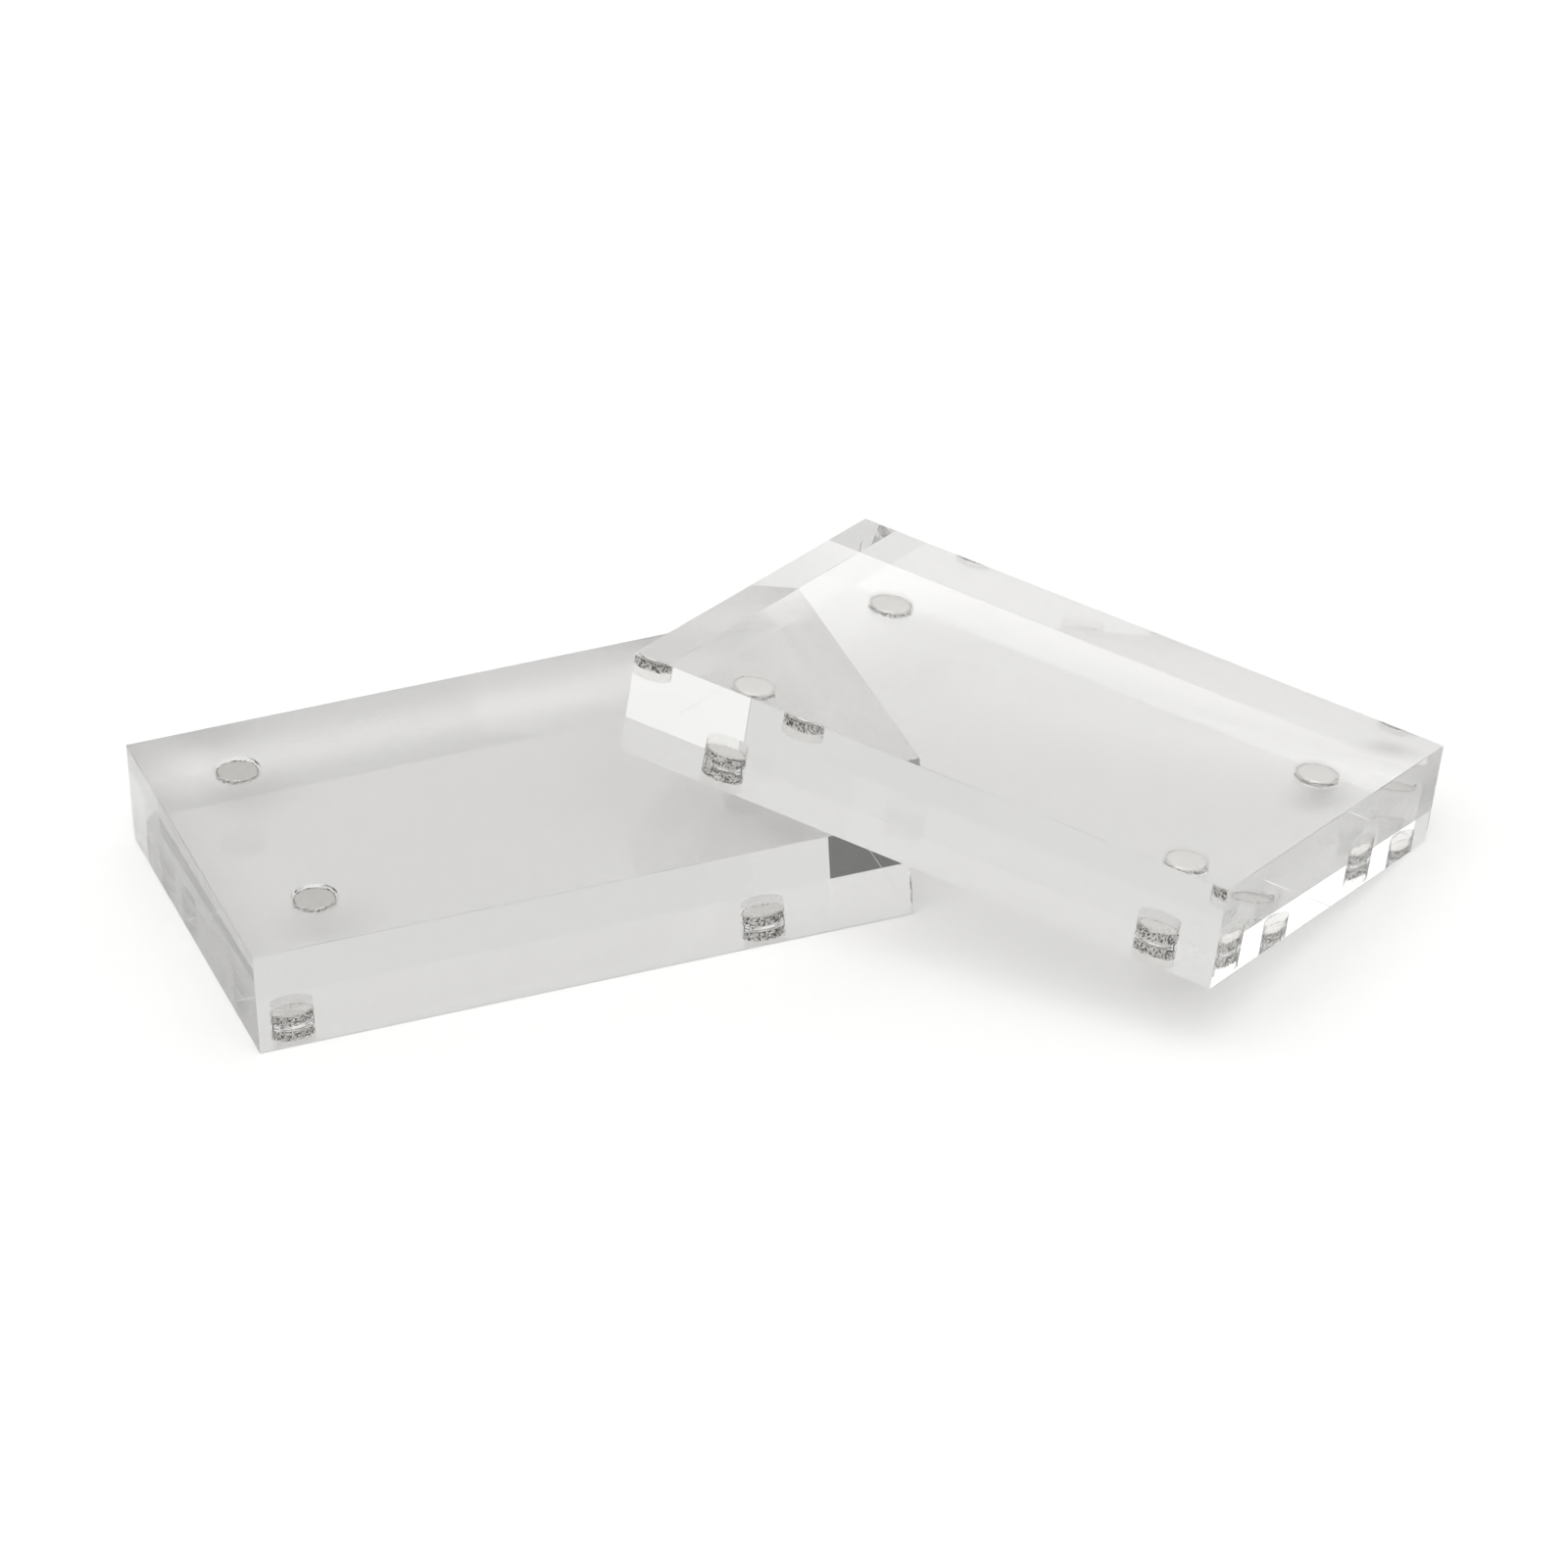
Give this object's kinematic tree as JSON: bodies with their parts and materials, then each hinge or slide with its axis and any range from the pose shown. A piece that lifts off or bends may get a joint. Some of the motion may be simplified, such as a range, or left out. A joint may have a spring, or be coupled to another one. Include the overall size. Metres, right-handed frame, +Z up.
{
  "type": "acrylic block frame",
  "caption": "Magnetic picture frame of two alike clear acrylic blocks; one lies flat and the other leans on its edge, ready to close over a small print.",
  "frame": {"origin": "middle of the back block's underside, on the table", "axes": "+X along the back block's long side towards the leaning block, +Y across it away from the viewer, +Z up"},
  "size_m": [0.1689, 0.1123, 0.0369],
  "materials": {
    "clear_acrylic": "polished clear cast acrylic",
    "nickel_magnet": "bright nickel plating over a sintered magnet",
    "clear_adhesive": "thin set adhesive, patchy"
  },
  "bodies": {
    "back_half": {"back_block": "clear_acrylic", "back_magnet_top_left": "nickel_magnet", "back_magnet_top_right": "nickel_magnet", "back_magnet_bottom_left": "nickel_magnet", "back_magnet_bottom_right": "nickel_magnet", "back_adhesive_top_left": "clear_adhesive", "back_adhesive_top_right": "clear_adhesive", "back_adhesive_bottom_left": "clear_adhesive", "back_adhesive_bottom_right": "clear_adhesive"},
    "front_half": {"front_block": "clear_acrylic", "front_magnet_top_left": "nickel_magnet", "front_magnet_top_right": "nickel_magnet", "front_magnet_bottom_left": "nickel_magnet", "front_magnet_bottom_right": "nickel_magnet", "front_adhesive_top_left": "clear_adhesive", "front_adhesive_top_right": "clear_adhesive", "front_adhesive_bottom_left": "clear_adhesive", "front_adhesive_bottom_right": "clear_adhesive"}
  },
  "joints": [
    {"name": "front_lift", "type": "slide", "parent": "back_half", "child": "front_half", "axis": [0, 0, 1], "range_m": [0, 0.06]}
  ]
}
